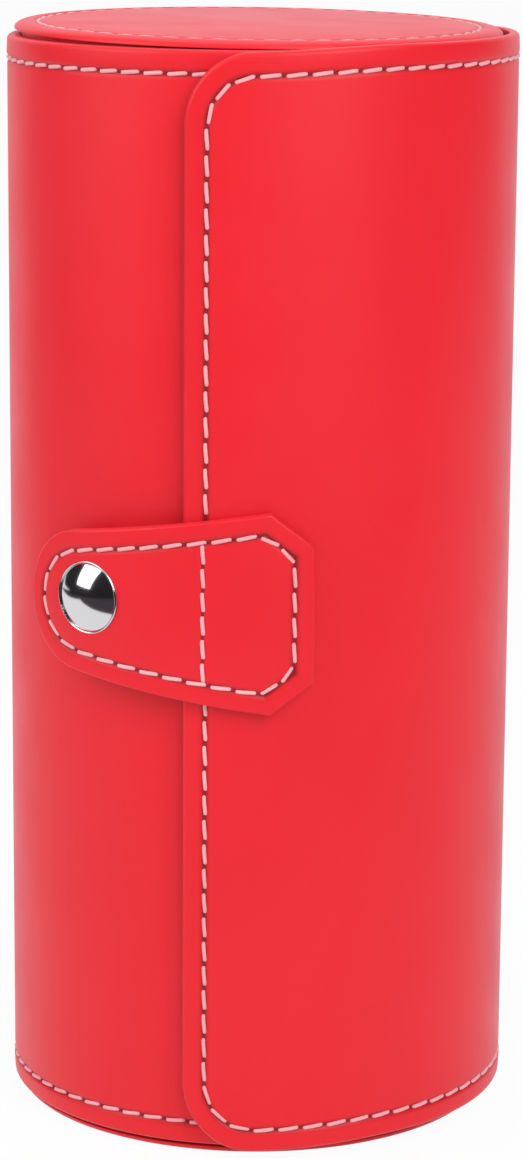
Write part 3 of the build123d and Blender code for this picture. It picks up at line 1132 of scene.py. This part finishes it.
def one_hole():
    """A needle hole seen from above: a small slit across the seam, coloured dark as painted shade for the
    hole's inside.
    """
    bpy.ops.object.select_all(action="DESELECT")
    bpy.ops.mesh.primitive_uv_sphere_add(segments=8, ring_count=5, radius=1)
    hole = bpy.context.object
    move(hole, Matrix.Diagonal((*slit_half, 1)))
    return hole


def copies(name, model, places):
    """Copies of a model at each place, joined into one piece."""
    made = []
    for place in places:
        piece = bpy.data.objects.new(name, model.data.copy())
        piece.matrix_world = place
        bpy.context.scene.collection.objects.link(piece)
        made.append(piece)
    bpy.data.objects.remove(model)
    select_only(*made)
    bpy.ops.object.join()
    bpy.ops.object.transform_apply()
    row = bpy.context.object
    row.name = row.data.name = name
    bpy.ops.object.shade_smooth()
    return row


def needle_places(path, closed):
    """Evenly spaced needle holes along a path of points."""
    points = [Vector((x, 0, z)) for x, z in path]
    if closed:
        points.append(points[0])
    runs = [(b - a).length for a, b in zip(points, points[1:])]
    count = max(1, round(sum(runs) / stitch_pitch))
    holes = []
    for index in range(count + 1):
        left = sum(runs) * index / count
        for start, end, run in zip(points, points[1:], runs):
            if left <= run + whisker:
                holes.append(start.lerp(end, min(1, left / run)))
                break
            left -= run
    return holes


def sew(name, path, depth, closed=False, keep=lambda place: True, lift=thread_lift):
    """Thread and needle holes along a seam on a flat piece whose seam lies at a depth."""
    holes = needle_places(path, closed)
    runs, slits = [], []
    for start, end in zip(holes, holes[1:]):
        middle = (start + end) / 2
        if not keep(middle):
            continue
        angle = math.atan2(end.z - start.z, end.x - start.x)
        length = (end - start).length / stitch_pitch
        place = Matrix.Translation(middle + Vector((0, depth - lift, 0)))
        place @= Matrix.Rotation(-angle - math.radians(stitch_slant), 4, "Y")
        runs.append(place @ Matrix.Diagonal((length, 1, 1, 1)))
        spot = Matrix.Translation(start + Vector((0, depth - hole_lift, 0)))
        slits.append(spot @ Matrix.Rotation(-angle - math.radians(slit_slant), 4, "Y"))
    thread = copies(name + "_thread", one_stitch(), runs)
    return thread, copies(name + "_holes", one_hole(), slits)


def open_seam(outline, cut, side):
    """Open a closed outline at the fold, where its leather was trimmed."""
    gap = cut - side * stitch_gap
    points = [((min if side > 0 else max)(x, gap), z) for x, z in outline]
    ends = [i for i, (x, z) in enumerate(points) if x == gap]
    first = ends[-1] if ends[-1] - ends[0] == 1 else ends[0]
    return points[first:] + points[:first]


print("a stitch is", round((stitch_pitch - stitch_gap) / MM, 2), "mm of thread")

# %% Sew the trough and the flap
threads = []
needle_holes = []


def under_tab(place):
    """True where the flap's seam runs beneath the tab, which is narrower towards its nose."""
    half = nose_half + (tab_half - nose_half) * (place.x - tab_left) / side_run
    return abs(place.z - tab_height) < half - stitch_pitch / 4 and place.x < tab_right


def note_row(piece):
    """Keep a row of thread or of needle holes on its list, for its finish."""
    rows = threads if piece.name.endswith("thread") else needle_holes
    rows.append(piece)


trough_path = open_seam(trough_seam, hinge_on_case, -1)
for piece in sew("trough", trough_path, seam_sink):
    roll(piece, case_radius, case_centre)
    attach(piece, "case")
    note_row(piece)

flap_path = open_seam(flap_seam, hinge_on_flap, 1)
for piece in sew("flap", flap_path, seam_sink, keep=lambda place: not under_tab(place)):
    creep_up(piece)
    roll(piece, flap_radius, flap_centre)
    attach(piece, "flap")
    note_row(piece)

# %% Sew the tab and the discs
free_end = tab_fold_place - stitch_pitch / 8
tab_bodies = (
    ("tab_free", "tab", lambda place: place.x < free_end),
    ("tab_sewn", "flap", lambda place: place.x >= free_end),
)
for name, body, keep in tab_bodies:
    for piece in sew(name, tab_seam, seam_sink, closed=True, keep=keep):
        roll(piece, tab_radius, flap_centre)
        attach(piece, body)
        note_row(piece)

cross_path = [(tab_fold_place, tab_height + way * cross_half) for way in (1, -1)]
for piece in sew("tab_cross", cross_path, seam_sink):
    roll(piece, tab_radius, flap_centre)
    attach(piece, "flap")
    note_row(piece)

for end, lay in ends:
    rows = sew(end + "_disc", disc_seams[end], seam_sink, closed=True, lift=disc_thread_lift)
    for piece in rows:
        move(piece, lay)
        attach(piece, "case")
        note_row(piece)
print(len(threads), "rows of thread")

# %% [markdown]
# ## Press stud
# The stud's cap is one smooth pressed dome with a rolled rim. A mirror finish shows every facet, so it is
# pressed anew in fine rings from a circle and set on the stud's axis. The parts under it stay as the frame
# has them, because they are small and plain turned parts.

# %% Snap cap
spring_low, spring_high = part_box("snap_spring")
stud_middle = (spring_low + spring_high) / 2
stud_out = stud_middle - flap_centre
stud_out.z = 0
stud_out.normalize()
cap_heights = [(v.co - stud_middle).dot(stud_out) for v in frame["nodes"]["snap_cap"].data.vertices]
cap_seat, cap_crown = min(cap_heights), max(cap_heights)
cap_radius = (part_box("snap_cap")[1].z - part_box("snap_cap")[0].z) / 2
cap_roll = 0.5 * MM
cap_rings = 22
cap_facets = 96
cap_edge = 0.02 * MM
cap_smooth_angle = 60
roll_turn = 150
roll_steps = 6
roll_reach = 0.45


def dome_rings(radius, rim, rise):
    """A rolled rim, then a round dome above it."""
    rings = []
    for step in range(1, roll_steps + 1):
        turn = math.radians(roll_turn * step / roll_steps)
        rings.append((rim * roll_reach * (1 - math.cos(turn)), rim * math.sin(turn), 0))
    start, height = rings[-1][:2]
    flat = radius - start
    for step in range(1, cap_rings):
        reach = flat * (1 - step / cap_rings)
        rings.append((radius - reach, height + (rise - height) * (1 - (reach / flat) ** 2), 0))
    return rings


cap = face_disc("snap_cap_dome", cap_radius, 0, cap_facets)
thicken(cap, cap_edge)
press_rings(cap, dome_rings(cap_radius, cap_roll, cap_crown - cap_seat))
close_up(cap, cap_smooth_angle)
cap_turn = math.atan2(stud_out.x, -stud_out.y)
cap_place = Matrix.Translation(stud_middle + stud_out * cap_seat) @ Matrix.Rotation(cap_turn, 4, "Z")
move(cap, cap_place)
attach(cap, "tab")
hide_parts("snap_cap")
print("cap", round(cap_radius / MM, 2), "mm in radius,", round((cap_crown - cap_seat) / MM, 2), "mm high")

# %% [markdown]
# ## Materials
# Every finish is made of nodes. Three effects serve more than one material, so each is a node group: the
# pebbled grain of embossed leatherette, a fibrous nap for suede, velvet and board, and a slow drift of tone.

# %% Node group helpers
def new_group(name, inputs, outputs):
    """A shader node group with float inputs that have a starting value, and named outputs."""
    group = bpy.data.node_groups.new(name, "ShaderNodeTree")
    for label, value in inputs.items():
        socket = group.interface.new_socket(label, in_out="INPUT", socket_type="NodeSocketFloat")
        socket.default_value = value
    for label in outputs:
        group.interface.new_socket(label, in_out="OUTPUT", socket_type="NodeSocketFloat")
    return group, group.nodes.new("NodeGroupInput"), group.nodes.new("NodeGroupOutput")


def math_node(tree, operation, first, second):
    """A Math node between two sockets or numbers."""
    node = tree.nodes.new("ShaderNodeMath")
    node.operation = operation
    for place, value in enumerate((first, second)):
        if isinstance(value, (int, float)):
            node.inputs[place].default_value = value
        else:
            tree.links.new(value, node.inputs[place])
    return node.outputs[0]


# %% Grain, nap and drift
def leather_grain_group():
    """Height of fine pebbles with softer wrinkles under them."""
    group, given, result = new_group("leather_grain", {"Scale": 1600.0, "Wrinkle": 0.4}, ["Height"])
    place = group.nodes.new("ShaderNodeTexCoord")
    pebble = group.nodes.new("ShaderNodeTexVoronoi")
    pebble.feature = "SMOOTH_F1"
    wrinkle = group.nodes.new("ShaderNodeTexNoise")
    wrinkle.inputs["Detail"].default_value = 4
    group.links.new(place.outputs["Object"], pebble.inputs["Vector"])
    group.links.new(place.outputs["Object"], wrinkle.inputs["Vector"])
    group.links.new(given.outputs["Scale"], pebble.inputs["Scale"])
    coarse = math_node(group, "MULTIPLY", given.outputs["Scale"], 0.3)
    group.links.new(coarse, wrinkle.inputs["Scale"])
    rounded = math_node(group, "SUBTRACT", 1.0, pebble.outputs["Distance"])
    folds = math_node(group, "MULTIPLY", wrinkle.outputs["Fac"], given.outputs["Wrinkle"])
    group.links.new(math_node(group, "ADD", rounded, folds), result.inputs["Height"])
    return group


def nap_group():
    """Height of short tangled fibres."""
    group, given, result = new_group("nap", {"Scale": 2500.0}, ["Height"])
    place = group.nodes.new("ShaderNodeTexCoord")
    fibre = group.nodes.new("ShaderNodeTexNoise")
    fibre.inputs["Detail"].default_value = 6
    fibre.inputs["Roughness"].default_value = 0.7
    fibre.inputs["Distortion"].default_value = 0.8
    group.links.new(place.outputs["Object"], fibre.inputs["Vector"])
    group.links.new(given.outputs["Scale"], fibre.inputs["Scale"])
    group.links.new(fibre.outputs["Fac"], result.inputs["Height"])
    return group


def drift_group():
    """A slow change of tone between two values."""
    group, given, result = new_group("drift", {"Scale": 25.0, "Low": 0.0, "High": 1.0}, ["Value"])
    place = group.nodes.new("ShaderNodeTexCoord")
    cloud = group.nodes.new("ShaderNodeTexNoise")
    cloud.inputs["Detail"].default_value = 3
    group.links.new(place.outputs["Object"], cloud.inputs["Vector"])
    group.links.new(given.outputs["Scale"], cloud.inputs["Scale"])
    spread = group.nodes.new("ShaderNodeMapRange")
    spread.inputs["From Min"].default_value = 0.3
    spread.inputs["From Max"].default_value = 0.7
    group.links.new(cloud.outputs["Fac"], spread.inputs["Value"])
    group.links.new(given.outputs["Low"], spread.inputs["To Min"])
    group.links.new(given.outputs["High"], spread.inputs["To Max"])
    group.links.new(spread.outputs["Result"], result.inputs["Value"])
    return group


groups = {"grain": leather_grain_group(), "nap": nap_group(), "drift": drift_group()}
print("node groups:", sorted(groups))

# %% Building a finish
gloss_scale = 3.1


def group_node(tree, name, **values):
    """A node group placed in a material, with its own values."""
    node = tree.nodes.new("ShaderNodeGroup")
    node.node_tree = groups[name]
    for label, value in values.items():
        node.inputs[label].default_value = value
    return node


def finish(name, dark, light, roughness, relief=None, depth=0.0, drift=25.0, **shader_values):
    """A finish whose colour drifts between two tones and whose relief is a group's height."""
    material, nodes, links, output = new_material(name)
    tree = material.node_tree
    shader = nodes.new("ShaderNodeBsdfPrincipled")
    for label, value in shader_values.items():
        shader.inputs[label.replace("_", " ")].default_value = value
    links.new(shader.outputs[0], output.inputs["Surface"])
    tone = nodes.new("ShaderNodeMix")
    tone.data_type = "RGBA"
    tone.inputs["A"].default_value = (*dark, 1)
    tone.inputs["B"].default_value = (*light, 1)
    links.new(group_node(tree, "drift", Scale=drift).outputs[0], tone.inputs["Factor"])
    links.new(tone.outputs["Result"], shader.inputs["Base Color"])
    gloss = group_node(tree, "drift", Scale=drift * gloss_scale, Low=roughness[0], High=roughness[1])
    links.new(gloss.outputs[0], shader.inputs["Roughness"])
    if relief:
        bump = nodes.new("ShaderNodeBump")
        bump.inputs["Strength"].default_value = 1
        bump.inputs["Distance"].default_value = depth
        links.new(relief(tree), bump.inputs["Height"])
        links.new(bump.outputs["Normal"], shader.inputs["Normal"])
    return material


def dress(pieces, material):
    """Give pieces one finish in place of what they had."""
    for piece in pieces:
        piece.data.materials.clear()
        piece.data.materials.append(material)


# %% [markdown]
# ### Red leatherette
# Coated leather is a strong, slightly uneven red under a satin skin with a very fine embossed grain. The
# grain is bump, because it is finer than any mesh should be, while edges, seams and folds are real shape. In
# the seams the red is painted darker where the rings have marked the leather as creased: painted shade for
# the groove's shadow.

# %% Leather finish
# How dark the painted shade in the seams is, as a share of the red.
seam_shade_share = 0.3

red_leather = finish(
    "red_leatherette",
    (0.75, 0.007, 0.017),
    (0.78, 0.009, 0.020),
    (0.40, 0.47),
    relief=lambda tree: group_node(tree, "grain", Scale=1700, Wrinkle=0.5).outputs[0],
    depth=0.012 * MM,
    Specular_IOR_Level=0.35,
    Sheen_Weight=0.12,
    Sheen_Roughness=0.4,
    Sheen_Tint=(0.85, 0.68, 1.0, 1.0),
)


def paint_seam_shade(material, share):
    """Paint shade into a finish where its piece has been marked as creased, down to a share of its colour."""
    nodes, links = material.node_tree.nodes, material.node_tree.links
    shader = next(node for node in nodes if node.type == "BSDF_PRINCIPLED")
    tone = shader.inputs["Base Color"].links[0].from_socket
    mark = nodes.new("ShaderNodeAttribute")
    mark.attribute_name = "crease"
    shade = nodes.new("ShaderNodeMix")
    shade.data_type = "RGBA"
    shade.blend_type = "MULTIPLY"
    shade.inputs["B"].default_value = (share, share, share, 1)
    links.new(mark.outputs["Fac"], shade.inputs["Factor"])
    links.new(tone, shade.inputs["A"])
    links.new(shade.outputs["Result"], shader.inputs["Base Color"])


paint_seam_shade(red_leather, seam_shade_share)
leathers = [piece for piece in bpy.context.scene.objects if piece.name.endswith("_leather")]
dress(leathers, red_leather)
print(len(leathers), "pieces of red leather")

# %% Thread finish
thread_finish = finish("white_thread", (0.82, 0.32, 0.35), (0.88, 0.42, 0.45), (0.6, 0.7))
dress(threads, thread_finish)
# The dark red of the needle holes is painted shade, for the shadow inside each hole.
hole_shade_finish = finish("needle_hole", (0.24, 0.006, 0.016), (0.30, 0.008, 0.022), (0.9, 1.0))
dress(needle_holes, hole_shade_finish)

# %% Metal finish
chrome = finish("bright_metal", (0.66, 0.65, 0.67), (0.70, 0.69, 0.71), (0.10, 0.14), Metallic=1.0)
dress([cap], chrome)

# %% [markdown]
# ### Suede, velvet and board
# Suede and velvet are soft piles: their fibres catch light at a low angle, which is what the sheen of the
# Principled shader is for. The board is grey pressed card, with a coarse fleck in place of a nap.

# %% Soft finishes
def nap(scale):
    """The relief of a nap at a scale."""
    return lambda tree: group_node(tree, "nap", Scale=scale).outputs[0]


charcoal_suede = finish(
    "charcoal_suede",
    (0.055, 0.052, 0.056),
    (0.085, 0.081, 0.086),
    (0.85, 0.95),
    relief=nap(2600),
    depth=0.12 * MM,
    drift=40.0,
    Sheen_Weight=0.35,
    Sheen_Roughness=0.5,
    Specular_IOR_Level=0.2,
)
charcoal_velvet = finish(
    "charcoal_velvet",
    (0.040, 0.039, 0.043),
    (0.064, 0.062, 0.067),
    (0.8, 0.95),
    relief=nap(5200),
    depth=0.1 * MM,
    drift=60.0,
    Sheen_Weight=1.0,
    Sheen_Roughness=0.35,
    Specular_IOR_Level=0.15,
)
grey_board = finish(
    "grey_board",
    (0.30, 0.28, 0.25),
    (0.38, 0.36, 0.33),
    (0.8, 0.95),
    relief=nap(1500),
    depth=0.08 * MM,
    drift=160.0,
)
dress(linings, charcoal_suede)
dress(cushions + welts, charcoal_velvet)

# %% [markdown]
# ### Metal under the cap
# The parts of the stud that stay as the frame has them are plated too, but duller than the cap, and the
# spring in the socket is darker steel. A very shallow nap stands for the marks of turning and tumbling.

# %% Metal of the stud
stud_drift = 300.0

stud_metal = finish(
    "stud_metal",
    (0.56, 0.55, 0.56),
    (0.64, 0.63, 0.64),
    (0.14, 0.26),
    relief=nap(900),
    depth=0.004 * MM,
    drift=stud_drift,
    Metallic=1.0,
)
spring_steel = finish(
    "spring_steel",
    (0.40, 0.40, 0.42),
    (0.48, 0.48, 0.50),
    (0.22, 0.34),
    relief=nap(1400),
    depth=0.003 * MM,
    drift=stud_drift,
    Metallic=1.0,
)

# %% The rest of the frame
for name, node in frame["nodes"].items():
    if name == "snap_spring":
        dress([node], spring_steel)
    elif name.startswith("snap_"):
        dress([node], stud_metal)
    elif name.endswith("_board"):
        dress([node], grey_board)
    else:
        dress([node], charcoal_suede)
print(len(frame["nodes"]), "nodes of the frame have a finish")
